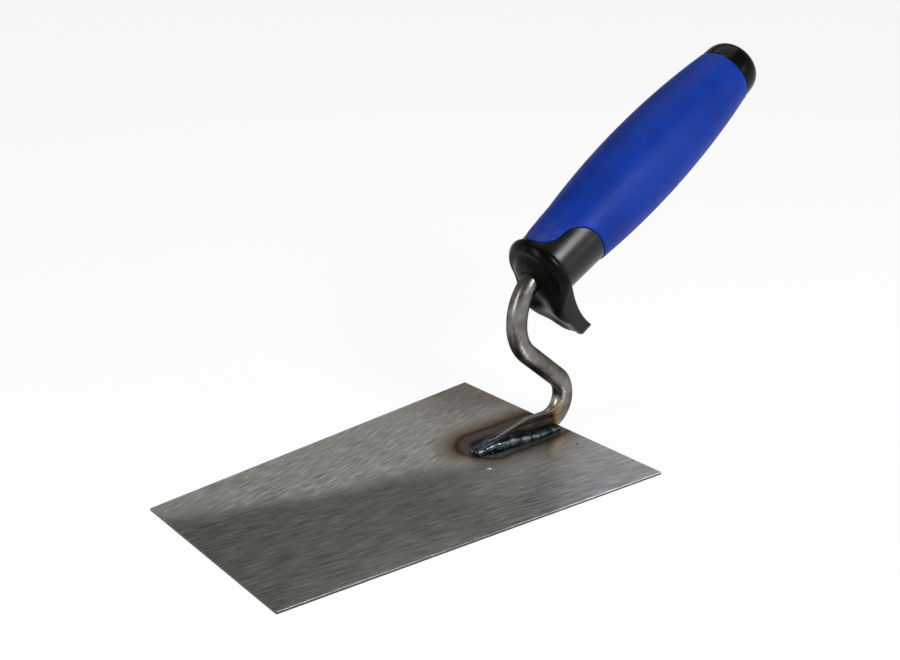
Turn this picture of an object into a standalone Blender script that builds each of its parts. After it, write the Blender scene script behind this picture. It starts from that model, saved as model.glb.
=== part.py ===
"""Brick trowel: a flat steel blade, a cranked neck welded to it, and a handle with a finger guard.

Metres, +Z up. The origin is the middle of the blade's underside. The neck and the handle lie in
the plane y = 0, and the handle rises towards +X. Handle pieces are modelled along their own +Z,
with their local +X on the finger side, and are parented to an empty on the handle's axis.
"""

import math

import bmesh
import bpy
from mathutils import Vector

MM = 0.001
CLEARANCE = 0.3 * MM

# Blade
BLADE_LENGTH = 160 * MM
BLADE_BACK_WIDTH = 114 * MM
BLADE_FRONT_WIDTH = 84 * MM
BLADE_THICKNESS = 1.1 * MM

# Neck: a round bar bent in the plane y = 0, forged to a wedge at its foot
ROD_RADIUS = 4.1 * MM
CRANK_SETBACK = 22.5 * MM  # the crank's foremost centreline, ahead of the blade's back edge
CRANK_HEIGHT = 49 * MM  # where the middle bend begins
CRANK_UPRIGHT = 1.1 * MM  # straight between the middle and the upper bend
UPPER_BEND_RADIUS = 21 * MM
MIDDLE_BEND_RADIUS = 17.5 * MM
CRANK_SLOPE = math.radians(40)
HEEL_BEND_RADIUS = 10.1 * MM
HEEL_SETBACK = 6.5 * MM  # the heel bend's centre, ahead of the blade's back edge
UPPER_BEND_STEPS = 11
MIDDLE_BEND_STEPS = 9
HEEL_BEND_STEPS = 14
FOOT_LENGTH = 37.5 * MM
FOOT_LEVEL_LENGTH = 9 * MM
FOOT_TIP_HEIGHT = 0.9 * MM
FOOT_TOP_HALF_WIDTH = 0.65 * MM
FOOT_HALF_WIDTH = 3.6 * MM
FOOT_TIP_HALF_WIDTH = 0.9 * MM
FOOT_STEPS = 8
TANG_LENGTH = 86 * MM
TANG_CHAMFER = 1.2 * MM
FORGED_FROM = 0.35  # share of the heel bend left round before the wedge begins
ROD_SIDES = 24

# Fillet welds along both sides of the foot
WELD_LEG = 2.4 * MM
WELD_RISE = 0.42  # of the foot's height
WELD_FROM_BACK_EDGE = 3 * MM
WELD_SHORT_OF_TIP = 1.5 * MM
WELD_END_SHARE = 0.6  # of the leg, at both ends
WELD_STEPS = 12
WELD_BULGE = [(1, 0), (0.75, 0.45), (0.3, 0.85), (0, 1)]  # shares of the leg and the rise

# Handle
HANDLE_TILT = math.radians(31.5)
COLLAR_LENGTH = 21.9 * MM
COLLAR_FRONT_RADIUS = 13.2 * MM
COLLAR_REAR_RADIUS = 14.2 * MM
GRIP_LENGTH = 121.2 * MM
GRIP_PROUD = 0.4 * MM
GRIP_WALL = 2.5 * MM
BELLY_AT = 64 * MM
BELLY_RADIUS = 17 * MM
GRIP_REAR_RADIUS = 12.85 * MM
TONGUE_TIP_RADIUS = 8 * MM  # the grip's thumb tongue ends round and flares into the full ring
TONGUE_TIP_AT = 2.4 * MM
TONGUE_FLARE = 12.5 * MM
TIP_STEPS = 5
FLARE_STEPS = 6
RING_STEPS = 7
GRIP_SHARES = [0, 0.03, 0.08, 0.16, 0.26, 0.37, 0.48, 0.59, 0.7, 0.8, 0.9, 1]  # where its rings lie
CAP_LENGTH = 11.7 * MM
CAP_STEP = 0.3 * MM
CAP_SQUARENESS = 3.5
CAP_STEPS = 10
SPIGOT_RADIUS = 7 * MM
SPIGOT_LENGTH = 14 * MM

# Finger guard
GUARD_RADIUS = 14.7 * MM
GUARD_REAR_AT = 1.3 * MM
GUARD_DOME = 8.2 * MM
DOME_SQUARENESS = 2.4
DOME_FALL = 0.6  # power by which the dome falls off towards its upper rim
GUARD_RIM = 1.4 * MM
RIM_SHARE = 0.8  # the most that a rim takes of the guard's depth
BEND_IN_GUARD = 2.3 * MM  # how far the crank's bend starts ahead of the handle's zero
HOOK_RIM = 6.9 * MM
HOOK_REACH = 38.5 * MM
HOOK_TIP_RADIUS = 5.8 * MM
HOOK_TIP_ANGLE = math.radians(76)
HOOK_THICKNESS = 10.6 * MM
HOOK_TIP_THICKNESS = 7 * MM
HOOK_TIP_THINNING = 0.15
HOOK_SWEEP_RADIUS = 60 * MM
HOOK_SWEEP_FROM = 10 * MM
CHANNEL_DEPTH = 2.6 * MM
CHANNEL_WIDTH_SHARE = 0.75  # of the hook's width
CHANNEL_ROUNDING = 1.5
CHANNEL_RUNOUT = 0.6  # share of its depth lost by the hook's tip
DISC_TURNS = range(15, 106, 13)  # degrees from the top, where the disc's sections lie
TAPER_STEPS = 11
TIP_SECTIONS = 4
FRONT_STEPS = 18
REAR_SIDES = (1, 0.6, 0.2, -0.2, -0.6, -1)

back_edge = BLADE_LENGTH / 2
foot_base = BLADE_THICKNESS + CLEARANCE


def clear_scene():
    for obj in list(bpy.data.objects):
        bpy.data.objects.remove(obj, do_unlink=True)


def make_collection(name):
    collection = bpy.data.collections.new(name)
    bpy.context.scene.collection.children.link(collection)
    return collection


def make_material(name, color, roughness, metallic):
    material = bpy.data.materials.new(name)
    material.use_nodes = True
    shader = material.node_tree.nodes["Principled BSDF"]
    shader.inputs["Base Color"].default_value = (*color, 1)
    shader.inputs["Roughness"].default_value = roughness
    shader.inputs["Metallic"].default_value = metallic
    return material


def add_object(name, data, collection, material=None, parent=None):
    obj = bpy.data.objects.new(name, data)
    collection.objects.link(obj)
    obj.parent = parent
    if material:
        data.materials.append(material)
    return obj


def shade_round(mesh):
    mesh.shade_smooth()
    mesh.set_sharp_from_angle(angle=math.radians(35))


def loft(name, rings, closed=False):
    """A mesh through rings of points with equal counts; a closed loft joins its last ring to its first."""
    bm = bmesh.new()
    loops = [[bm.verts.new(point) for point in ring] for ring in rings]
    pairs = list(zip(loops, loops[1:]))
    if closed:
        pairs.append((loops[-1], loops[0]))
    else:
        bm.faces.new(loops[0])
        bm.faces.new(list(reversed(loops[-1])))
    for near, far in pairs:
        for i in range(len(near)):
            j = (i + 1) % len(near)
            bm.faces.new((near[j], near[i], far[i], far[j]))
    bmesh.ops.recalc_face_normals(bm, faces=bm.faces)
    mesh = bpy.data.meshes.new(name)
    bm.to_mesh(mesh)
    bm.free()
    shade_round(mesh)
    return mesh


def turned(name, profile, collection, material=None, parent=None, steps=48):
    """A solid of revolution about local Z. The profile is (radius, z) points down its outer side."""
    bm = bmesh.new()
    verts = [bm.verts.new((radius, 0, z)) for radius, z in profile]
    for above, below in zip(verts, verts[1:]):
        bm.edges.new((above, below))
    mesh = bpy.data.meshes.new(name)
    bm.to_mesh(mesh)
    bm.free()
    obj = add_object(name, mesh, collection, material, parent)
    screw = obj.modifiers.new("turn", "SCREW")
    screw.steps = screw.render_steps = steps
    screw.use_merge_vertices = True
    screw.merge_threshold = 0.00005
    screw.use_smooth_shade = True
    return obj


def in_plane(x, z):
    return Vector((x, 0, z))


def heading(angle):
    return in_plane(math.cos(angle), math.sin(angle))


# The neck's centreline runs down the tang, round the crank, down a straight slope and round the heel.
upper_center = in_plane(back_edge - CRANK_SETBACK + UPPER_BEND_RADIUS, CRANK_HEIGHT + CRANK_UPRIGHT)
middle_center = in_plane(back_edge - CRANK_SETBACK + MIDDLE_BEND_RADIUS, CRANK_HEIGHT)
along_handle = heading(HANDLE_TILT)
upper_turn = HANDLE_TILT + math.pi / 2
above_handle = heading(upper_turn)
tang_foot = upper_center + above_handle * UPPER_BEND_RADIUS
slope_turn = 1.5 * math.pi - CRANK_SLOPE
slope_start = middle_center + heading(slope_turn) * MIDDLE_BEND_RADIUS
heel_x = back_edge - HEEL_SETBACK
heel_drop = (heel_x + HEEL_BEND_RADIUS * math.sin(CRANK_SLOPE) - slope_start.x) * math.tan(CRANK_SLOPE)
heel_center = in_plane(heel_x, slope_start.z - heel_drop - HEEL_BEND_RADIUS * math.cos(CRANK_SLOPE))
heel_ridge = heel_center.z - HEEL_BEND_RADIUS + ROD_RADIUS
level_end = heel_x - FOOT_LEVEL_LENGTH
foot_tip = heel_x - FOOT_LENGTH
handle_origin = tang_foot + along_handle * BEND_IN_GUARD


def arc(center, radius, start, end, count):
    """Points on an arc in the plane y = 0, each with the direction to it from the arc's centre."""
    turns = [start + (end - start) * i / (count - 1) for i in range(count)]
    return [(center + heading(turn) * radius, heading(turn)) for turn in turns]


def taper(x, heel_value, tip_value):
    """Level from the heel to the end of the level stretch, then straight to the foot's tip."""
    share = min(max((level_end - x) / (level_end - foot_tip), 0), 1)
    return heel_value + (tip_value - heel_value) * share


def foot_ridge(x):
    return taper(x, heel_ridge, foot_base + FOOT_TIP_HEIGHT)


def foot_half_width(x):
    return taper(x, FOOT_HALF_WIDTH, FOOT_TIP_HALF_WIDTH)


def neck_ring(front, back, radius, wedge, base_width):
    """A section between a front and a back point: an ellipse at wedge 0, a narrow-topped wedge at 1."""
    middle = (front + back) / 2
    half = (front - back) / 2
    ring = []
    for i in range(ROD_SIDES):
        angle = math.tau * i / ROD_SIDES
        side, rise = math.sin(angle), math.cos(angle)
        reach = max(abs(side), abs(rise))
        square_side, square_rise = side / reach, rise / reach
        width = base_width + (FOOT_TOP_HALF_WIDTH - base_width) * (square_rise + 1) / 2
        y = radius * side * (1 - wedge) + width * square_side * wedge
        up = rise * (1 - wedge) + square_rise * wedge
        ring.append(middle + half * up + Vector((0, y, 0)))
    return ring


def rod_ring(point, front_way, radius=ROD_RADIUS, wedge=0.0):
    """A section of the bar, flattened where it would pass below the foot's base."""
    depth = radius
    if front_way.z > 0 and (point - front_way * radius).z < foot_base:
        depth = (point.z - foot_base) / front_way.z
    front = point + front_way * radius
    return neck_ring(front, point - front_way * depth, radius, wedge, FOOT_HALF_WIDTH)


def make_neck(collection):
    tang_end = handle_origin + along_handle * TANG_LENGTH
    rings = [
        rod_ring(tang_end, above_handle, ROD_RADIUS - TANG_CHAMFER),
        rod_ring(tang_end - along_handle * TANG_CHAMFER, above_handle),
    ]
    crank = arc(upper_center, UPPER_BEND_RADIUS, upper_turn, math.pi, UPPER_BEND_STEPS)
    crank += arc(middle_center, MIDDLE_BEND_RADIUS, math.pi, slope_turn, MIDDLE_BEND_STEPS)
    rings += [rod_ring(point, outward) for point, outward in crank]
    # The heel bends the other way, so the bar's front is on the inside of this arc.
    heel = arc(heel_center, HEEL_BEND_RADIUS, math.pi / 2 - CRANK_SLOPE, -math.pi / 2, HEEL_BEND_STEPS)
    for i, (point, outward) in enumerate(heel):
        forged = max(0, i / (len(heel) - 1) - FORGED_FROM)
        rings.append(rod_ring(point, -outward, wedge=forged))
    forged_at_heel = 1 - FORGED_FROM
    for i in range(1, FOOT_STEPS + 1):
        x = heel_x - FOOT_LENGTH * i / FOOT_STEPS
        wedge = min(1, forged_at_heel + FORGED_FROM * (heel_x - x) / FOOT_LEVEL_LENGTH)
        front, back = in_plane(x, foot_ridge(x)), in_plane(x, foot_base)
        rings.append(neck_ring(front, back, ROD_RADIUS, wedge, foot_half_width(x)))
    material = make_material("steel_rod", (0.3, 0.29, 0.27), 0.4, 1)
    return add_object("neck", loft("neck", rings), collection, material)


def make_blade(collection):
    """The flat trapezoid blade, as a filled outline with half its thickness each way."""
    curve = bpy.data.curves.new("blade", "CURVE")
    curve.dimensions = "2D"
    curve.fill_mode = "BOTH"
    curve.extrude = BLADE_THICKNESS / 2
    outline = curve.splines.new("POLY")
    outline.use_cyclic_u = True
    outline.points.add(3)
    corners = [
        (back_edge, -BLADE_BACK_WIDTH / 2),
        (back_edge, BLADE_BACK_WIDTH / 2),
        (-back_edge, BLADE_FRONT_WIDTH / 2),
        (-back_edge, -BLADE_FRONT_WIDTH / 2),
    ]
    for point, (x, y) in zip(outline.points, corners):
        point.co = (x, y, 0, 1)
    material = make_material("ground_steel", (0.4, 0.38, 0.35), 0.35, 1)
    blade = add_object("blade", curve, collection, material)
    blade.location.z = BLADE_THICKNESS / 2
    return blade


def make_weld(name, side, collection, material):
    """A fillet bead between the blade and one flank of the foot, clear of both by the clearance."""
    rings = []
    start, end = back_edge - WELD_FROM_BACK_EDGE, foot_tip + WELD_SHORT_OF_TIP
    for i in range(WELD_STEPS + 1):
        x = start + (end - start) * i / WELD_STEPS
        height = foot_ridge(x) - foot_base
        base = foot_half_width(x) if x < level_end else ROD_RADIUS
        rise = WELD_RISE * height
        lean = (base - FOOT_TOP_HALF_WIDTH) / height if x < level_end else 0
        root = base + CLEARANCE * math.hypot(1, lean)
        leg = WELD_LEG * (1 if 0 < i < WELD_STEPS else WELD_END_SHARE)
        section = [(root, foot_base)]
        for out, up in WELD_BULGE:
            section.append((root + leg * out - lean * rise * up, foot_base + rise * up))
        rings.append([Vector((x, side * y, z)) for y, z in section])
    return add_object(name, loft(name, rings), collection, material)


def collar_radius(z):
    return COLLAR_FRONT_RADIUS + (COLLAR_REAR_RADIUS - COLLAR_FRONT_RADIUS) * z / COLLAR_LENGTH


def grip_radius(z):
    """Outer radius of the grip: proud of the collar in front, then a barrel of two parabolas."""
    if z < COLLAR_LENGTH:
        return collar_radius(z) + GRIP_PROUD
    if z < BELLY_AT:
        end_radius = COLLAR_REAR_RADIUS + GRIP_PROUD
        share = (BELLY_AT - z) / (BELLY_AT - COLLAR_LENGTH)
    else:
        end_radius = GRIP_REAR_RADIUS
        share = (z - BELLY_AT) / (GRIP_LENGTH - BELLY_AT)
    return BELLY_RADIUS + (end_radius - BELLY_RADIUS) * share**2


def grip_front_edge(grow):
    """(angle from the top, z) round the grip's front edge: the thumb tongue's round tip, its flare
    into the ring, and the ring. The edge is moved outwards by grow."""
    tip_center = TONGUE_TIP_AT + TONGUE_TIP_RADIUS
    tip, flare = TONGUE_TIP_RADIUS + grow, TONGUE_FLARE - grow
    half = []
    for i in range(TIP_STEPS + 1):
        turn = math.pi / 2 * i / TIP_STEPS
        half.append((tip * math.sin(turn), tip_center - tip * math.cos(turn)))
    for i in range(1, FLARE_STEPS + 1):
        turn = math.pi / 2 * i / FLARE_STEPS
        width = TONGUE_TIP_RADIUS + TONGUE_FLARE - flare * math.cos(turn)
        half.append((width, tip_center + (COLLAR_LENGTH - tip_center - grow) * math.sin(turn)))
    half = [(width / COLLAR_FRONT_RADIUS, z) for width, z in half]
    last_angle, ring_z = half[-1]
    for i in range(1, RING_STEPS + 1):
        half.append((last_angle + (math.pi - last_angle) * i / RING_STEPS, ring_z))
    return half + [(-angle, z) for angle, z in reversed(half[1:-1])]


def handle_ring(edge, radius_at, share=0.0, z=None):
    """A ring round the handle: at z, or at a share of the way from the edge to the grip's rear."""
    ring = []
    for angle, edge_z in edge:
        at = edge_z + (GRIP_LENGTH - edge_z) * share if z is None else z
        radius = radius_at(at)
        ring.append(Vector((-radius * math.cos(angle), radius * math.sin(angle), at)))
    return ring


def inner_radius(z):
    return grip_radius(z) - GRIP_WALL


def seat_radius(z):
    """The core's radius under the sleeve."""
    return inner_radius(z) - CLEARANCE


def make_grip(collection, handle):
    """The soft sleeve: outer rings forwards to back, then inner rings back to front."""
    edge = grip_front_edge(0)
    rings = [handle_ring(edge, grip_radius, share) for share in GRIP_SHARES]
    rings += [handle_ring(edge, inner_radius, share) for share in reversed(GRIP_SHARES)]
    material = make_material("blue_elastomer", (0.02, 0.07, 0.5), 0.5, 0)
    mesh = loft("grip_sleeve", rings, closed=True)
    return add_object("grip_sleeve", mesh, collection, material, handle)


def make_core(collection, handle):
    """The hard core: the bare collar in front, the seat under the sleeve, a tang bore and a cap socket."""
    edge = grip_front_edge(CLEARANCE)
    front = GUARD_REAR_AT + CLEARANCE
    bore = ROD_RADIUS + CLEARANCE
    socket = SPIGOT_RADIUS + CLEARANCE
    socket_floor = GRIP_LENGTH - SPIGOT_LENGTH - CLEARANCE
    rings = [
        handle_ring(edge, lambda z: bore, z=front),
        handle_ring(edge, collar_radius, z=front),
        handle_ring(edge, collar_radius, 0),
    ]
    rings += [handle_ring(edge, seat_radius, share) for share in GRIP_SHARES]
    rings += [
        handle_ring(edge, lambda z: socket, z=GRIP_LENGTH),
        handle_ring(edge, lambda z: socket, z=socket_floor),
        handle_ring(edge, lambda z: bore, z=socket_floor),
    ]
    material = make_material("black_polymer", (0.02, 0.02, 0.022), 0.45, 0)
    mesh = loft("handle_core", rings, closed=True)
    return add_object("handle_core", mesh, collection, material, handle)


def make_cap(collection, handle):
    """The striking cap: a squarish dome behind the grip, with a spigot in the core's socket."""
    seat = GRIP_LENGTH + CLEARANCE
    radius = GRIP_REAR_RADIUS - CAP_STEP
    profile = []
    for i in range(CAP_STEPS + 1):
        turn = math.pi / 2 * i / CAP_STEPS
        out = math.sin(turn) ** (2 / CAP_SQUARENESS)
        up = math.cos(turn) ** (2 / CAP_SQUARENESS) if i < CAP_STEPS else 0
        profile.append((radius * out, seat + CAP_LENGTH * up))
    bottom = GRIP_LENGTH - SPIGOT_LENGTH
    profile += [(SPIGOT_RADIUS, seat), (SPIGOT_RADIUS, bottom), (0, bottom)]
    material = make_material("black_cap", (0.012, 0.012, 0.014), 0.25, 0)
    return turned("end_cap", profile, collection, material, handle)


# Outline of the guard seen along the handle: a disc and a small tip circle, joined by their tangents.
hook_center = HOOK_REACH - HOOK_TIP_RADIUS
hook_taper = math.asin((GUARD_RADIUS - HOOK_TIP_RADIUS) / hook_center)
taper_start = GUARD_RADIUS * math.sin(hook_taper)
taper_end = hook_center + HOOK_TIP_RADIUS * math.sin(hook_taper)


def guard_half_width(down):
    if down < taper_start:
        return math.sqrt(GUARD_RADIUS**2 - down**2)
    if down < taper_end:
        return GUARD_RADIUS * math.cos(hook_taper) - (down - taper_start) * math.tan(hook_taper)
    return math.sqrt(HOOK_TIP_RADIUS**2 - (down - hook_center) ** 2)


def smooth(value, low, high):
    share = min(max((value - low) / (high - low), 0), 1)
    return share * share * (3 - 2 * share)


def guard_rear(down):
    """The rear face, flat against the collar and sweeping back in an arc down the hook."""
    past = max(down - HOOK_SWEEP_FROM, 0)
    return GUARD_REAR_AT + HOOK_SWEEP_RADIUS - math.sqrt(HOOK_SWEEP_RADIUS**2 - past**2)


def guard_depth(down):
    """Thickness between the rear face and the front's highest line."""
    if down < 0:
        return GUARD_DOME * (1 - (down / GUARD_RADIUS) ** 2) ** DOME_FALL
    depth = GUARD_DOME + (HOOK_THICKNESS - GUARD_DOME) * smooth(down, 0, GUARD_RADIUS)
    depth += (HOOK_TIP_THICKNESS - HOOK_THICKNESS) * smooth(down, GUARD_RADIUS, hook_center)
    past = max(down - taper_end, 0) / (HOOK_REACH - taper_end)
    return depth * (1 - HOOK_TIP_THINNING * past**2)


def guard_section(down):
    """One section across the guard: the domed or channelled front, then the flat rear."""
    width, depth, rear = guard_half_width(down), guard_depth(down), guard_rear(down)
    rim = GUARD_RIM + (HOOK_RIM - GUARD_RIM) * smooth(down, ROD_RADIUS, GUARD_RADIUS)
    rim = min(rim, RIM_SHARE * depth)
    channel = CHANNEL_DEPTH * smooth(down, ROD_RADIUS / 2, 2 * ROD_RADIUS)
    channel *= 1 - CHANNEL_RUNOUT * smooth(down, HOOK_REACH / 2, HOOK_REACH)
    points = []
    for i in range(FRONT_STEPS + 1):
        side = math.sin(math.pi * (i / FRONT_STEPS - 0.5))
        crown = (1 - min(abs(side), 1) ** DOME_SQUARENESS) ** (1 / DOME_SQUARENESS)
        groove = max(0, 1 - (side / CHANNEL_WIDTH_SHARE) ** 2) ** CHANNEL_ROUNDING
        front = rear - rim - (depth - rim) * crown + channel * groove
        points.append(Vector((down, width * side, front)))
    for side in REAR_SIDES:
        points.append(Vector((down, width * side, rear)))
    return points


def make_guard(collection, cutters, handle):
    """The finger guard: a dome round the neck's exit that runs down into a swept, channelled hook."""
    downs = [-GUARD_RADIUS * math.cos(math.radians(turn)) for turn in DISC_TURNS]
    run = taper_end - downs[-1]
    downs += [taper_end - run * i / TAPER_STEPS for i in reversed(range(TAPER_STEPS))]
    for i in range(1, TIP_SECTIONS + 1):
        turn = hook_taper + (HOOK_TIP_ANGLE - hook_taper) * i / TIP_SECTIONS
        downs.append(hook_center + HOOK_TIP_RADIUS * math.sin(turn))
    rings = [guard_section(down) for down in downs]
    material = make_material("black_guard", (0.025, 0.026, 0.03), 0.4, 0)
    guard = add_object("guard", loft("guard", rings), collection, material, handle)
    room = ROD_RADIUS + CLEARANCE
    path = [(handle_origin + along_handle * GUARD_RADIUS, above_handle)]
    path += arc(upper_center, UPPER_BEND_RADIUS, upper_turn, math.pi, UPPER_BEND_STEPS)
    mesh = loft("neck_room", [rod_ring(*step, room) for step in path])
    cutter = add_object("neck_room", mesh, cutters)
    cutter.hide_render = True
    cutter.display_type = "WIRE"
    cut = guard.modifiers.new("neck_room", "BOOLEAN")
    cut.operation = "DIFFERENCE"
    cut.object = cutter
    return guard


def make_handle_frame(collection):
    """The empty that carries the handle: local +Z up the handle, local +X towards the finger side."""
    handle = add_object("handle_frame", None, collection)
    handle.location = handle_origin
    handle.rotation_euler.y = math.pi / 2 - HANDLE_TILT
    return handle


def make_trowel():
    clear_scene()
    parts = make_collection("brick_trowel")
    cutters = make_collection("cutters")
    make_blade(parts)
    make_neck(parts)
    weld_steel = make_material("weld_steel", (0.05, 0.06, 0.08), 0.25, 1)
    make_weld("weld_bead_left", 1, parts, weld_steel)
    make_weld("weld_bead_right", -1, parts, weld_steel)
    handle = make_handle_frame(parts)
    make_guard(parts, cutters, handle)
    make_core(parts, handle)
    make_grip(parts, handle)
    make_cap(parts, handle)


make_trowel()
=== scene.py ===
from math import asin, copysign, cos, exp, hypot, pi, radians, sin, sqrt, tan, tau

import bmesh
import bpy
from mathutils import Matrix, Vector, noise


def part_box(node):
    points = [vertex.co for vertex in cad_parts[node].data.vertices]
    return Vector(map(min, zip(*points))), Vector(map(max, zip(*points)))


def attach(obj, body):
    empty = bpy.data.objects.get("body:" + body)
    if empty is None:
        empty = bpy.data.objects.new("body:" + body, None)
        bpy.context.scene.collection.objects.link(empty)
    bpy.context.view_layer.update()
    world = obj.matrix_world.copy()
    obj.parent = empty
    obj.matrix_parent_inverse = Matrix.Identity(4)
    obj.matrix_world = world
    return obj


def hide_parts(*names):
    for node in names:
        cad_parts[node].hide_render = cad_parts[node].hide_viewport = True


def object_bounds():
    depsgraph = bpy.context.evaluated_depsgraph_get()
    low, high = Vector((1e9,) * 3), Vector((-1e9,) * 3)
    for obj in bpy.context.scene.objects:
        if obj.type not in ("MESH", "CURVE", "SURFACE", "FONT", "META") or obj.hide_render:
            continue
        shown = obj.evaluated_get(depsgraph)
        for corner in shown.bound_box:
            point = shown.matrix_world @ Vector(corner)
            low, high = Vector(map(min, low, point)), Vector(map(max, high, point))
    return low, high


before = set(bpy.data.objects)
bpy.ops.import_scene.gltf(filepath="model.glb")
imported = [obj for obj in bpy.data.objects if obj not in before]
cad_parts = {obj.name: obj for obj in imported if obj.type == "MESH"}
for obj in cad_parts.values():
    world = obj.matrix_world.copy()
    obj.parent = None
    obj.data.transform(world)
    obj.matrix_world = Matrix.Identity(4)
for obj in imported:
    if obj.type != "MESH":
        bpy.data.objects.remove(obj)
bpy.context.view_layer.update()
scene = bpy.context.scene
mm = 0.001
print("frame loaded, nodes:", ", ".join(sorted(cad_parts)))

bladeLow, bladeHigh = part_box("blade")

# small tools for sizes and meshes

def inMillimetres(**lengths):
    return {name: length * mm for name, length in lengths.items()}


def smoothStep(value, low, high):
    share = min(max((value - low) / (high - low), 0), 1)
    return share * share * (3 - 2 * share)


def blendValue(low, high, share):
    return low + (high - low) * share


def spread(count):
    return [i / (count - 1) for i in range(count)]


def quarterTurn(count):
    # sines and cosines over a right angle
    return [(sin(pi / 2 * share), cos(pi / 2 * share)) for share in spread(count)]


def makeObject(name, mesh):
    obj = bpy.data.objects.new(name, mesh)
    scene.collection.objects.link(obj)
    return obj


def meshFrom(name, points, faces=(), edges=()):
    mesh = bpy.data.meshes.new(name)
    mesh.from_pydata([tuple(point) for point in points], list(edges), list(faces))
    mesh.validate()
    return mesh


def loftMesh(name, rings, closed=False, sharpAngle=35):
    # rings of equal counts; a closed loft joins its last ring to its first, an open one gets caps
    count = len(rings[0])
    points = [point for ring in rings for point in ring]
    faces = []
    pairs = [(i, i + 1) for i in range(len(rings) - 1)]
    if closed:
        pairs.append((len(rings) - 1, 0))
    else:
        faces.append(list(range(count)))
        faces.append([(len(rings) - 1) * count + i for i in reversed(range(count))])
    for near, far in pairs:
        for i in range(count):
            j = (i + 1) % count
            faces.append((near * count + j, near * count + i, far * count + i, far * count + j))
    mesh = meshFrom(name, points, faces)
    turnOutwards(mesh)
    mesh.shade_smooth()
    mesh.set_sharp_from_angle(angle=radians(sharpAngle))
    return mesh


def turnOutwards(mesh):
    bm = bmesh.new()
    bm.from_mesh(mesh)
    bmesh.ops.recalc_face_normals(bm, faces=bm.faces)
    bm.to_mesh(mesh)
    bm.free()


def setAttribute(mesh, name, values):
    attribute = mesh.attributes.new(name, "FLOAT", "POINT")
    attribute.data.foreach_set("value", values)


def place(mesh, matrix):
    mesh.transform(matrix)
    return mesh


def finishPiece(obj, slot, material, *nodes):
    if material:
        obj.data.materials.clear()
        obj.data.materials.append(material)
    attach(obj, "root")
    if nodes:
        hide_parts(*nodes)
    print("made", obj.name, len(obj.data.polygons), "faces")
    return obj


# small tools for node trees

def addNode(tree, kind, values=None, **settings):
    node = tree.nodes.new(kind)
    for key, value in settings.items():
        setattr(node, key, value)
    for key, value in (values or {}).items():
        if isinstance(value, bpy.types.NodeSocket):
            tree.links.new(value, node.inputs[key])
        else:
            node.inputs[key].default_value = value
    return node


def outputOf(tree, kind, values=None, **settings):
    return addNode(tree, kind, values, **settings).outputs[0]


def treeOf(*values):
    return next(value.id_data for value in values if isinstance(value, bpy.types.NodeSocket))


def maths(operation, a, b=0.0):
    return outputOf(treeOf(a, b), "ShaderNodeMath", {0: a, 1: b}, operation=operation)


def plus(a, b):
    return maths("ADD", a, b)


def minus(a, b):
    return maths("SUBTRACT", a, b)


def times(a, b):
    return maths("MULTIPLY", a, b)


def partsOf(vector):
    return addNode(vector.id_data, "ShaderNodeSeparateXYZ", {0: vector}).outputs


def mixColors(share, a, b, blend="MIX"):
    tree = treeOf(share, a, b)
    a, b = ((*color, 1) if isinstance(color, tuple) else color for color in (a, b))
    return addNode(tree, "ShaderNodeMix", {0: share, 6: a, 7: b}, data_type="RGBA", blend_type=blend).outputs[2]


def ramp(value, stops):
    # a stop's colour is three numbers, or one for a grey
    node = addNode(value.id_data, "ShaderNodeValToRGB", {0: value})
    elements = node.color_ramp.elements
    while len(elements) < len(stops):
        elements.new(0.5)
    for element, (position, color) in zip(elements, stops):
        element.position = position
        element.color = (*(color if isinstance(color, tuple) else (color,) * 3), 1)
    return node.outputs[0]


def remap(value, low, high, newLow=0.0, newHigh=1.0):
    values = {0: value, 1: low, 2: high, 3: newLow, 4: newHigh}
    return outputOf(value.id_data, "ShaderNodeMapRange", values, interpolation_type="SMOOTHSTEP")


def stretched(vector, scale, turn=0.0):
    # turned first, so that the streaks run along the turned direction
    turned = outputOf(vector.id_data, "ShaderNodeMapping", {0: vector, 2: (0, 0, turn)})
    return outputOf(vector.id_data, "ShaderNodeMapping", {0: turned, 3: scale})


def noiseOf(vector, scale, detail=3.0, rough=0.5):
    values = {"Vector": vector, "Scale": scale, "Detail": detail, "Roughness": rough}
    return outputOf(vector.id_data, "ShaderNodeTexNoise", values)


def bumpOf(height, distance, strength, below=None):
    values = {"Height": height, "Distance": distance, "Strength": strength}
    if below:
        values["Normal"] = below
    return outputOf(height.id_data, "ShaderNodeBump", values)


def newMaterial(name, metallic, **sockets):
    material = bpy.data.materials.new(name)
    material.use_nodes = True
    shader = material.node_tree.nodes["Principled BSDF"]
    shader.inputs["Metallic"].default_value = metallic
    for key, value in sockets.items():
        shader.inputs[key.replace("_", " ")].default_value = value
    coords = addNode(material.node_tree, "ShaderNodeTexCoord").outputs["Object"]
    return material, shader, coords


def feed(shader, **sockets):
    for key, value in sockets.items():
        shader.id_data.links.new(value, shader.inputs[key.replace("_", " ")])


def readAttribute(tree, name):
    return addNode(tree, "ShaderNodeAttribute", attribute_name=name).outputs["Fac"]


# small tools for geometry nodes

def newPieceTree(name, inputs):
    tree = bpy.data.node_groups.new(name, "GeometryNodeTree")
    tree.interface.new_socket("Geometry", in_out="OUTPUT", socket_type="NodeSocketGeometry")
    tree.interface.new_socket("Geometry", in_out="INPUT", socket_type="NodeSocketGeometry")
    for label, kind in inputs.items():
        tree.interface.new_socket(label, in_out="INPUT", socket_type="NodeSocket" + kind)
    return tree, tree.nodes.new("NodeGroupInput"), tree.nodes.new("NodeGroupOutput")


def endTree(tree, result, output, material):
    real = outputOf(tree, "GeometryNodeRealizeInstances", {"Geometry": result})
    smooth = outputOf(tree, "GeometryNodeSetShadeSmooth", {"Geometry": real})
    painted = outputOf(tree, "GeometryNodeSetMaterial", {"Geometry": smooth})
    painted.node.inputs["Material"].default_value = material
    tree.links.new(painted, output.inputs[0])


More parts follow.
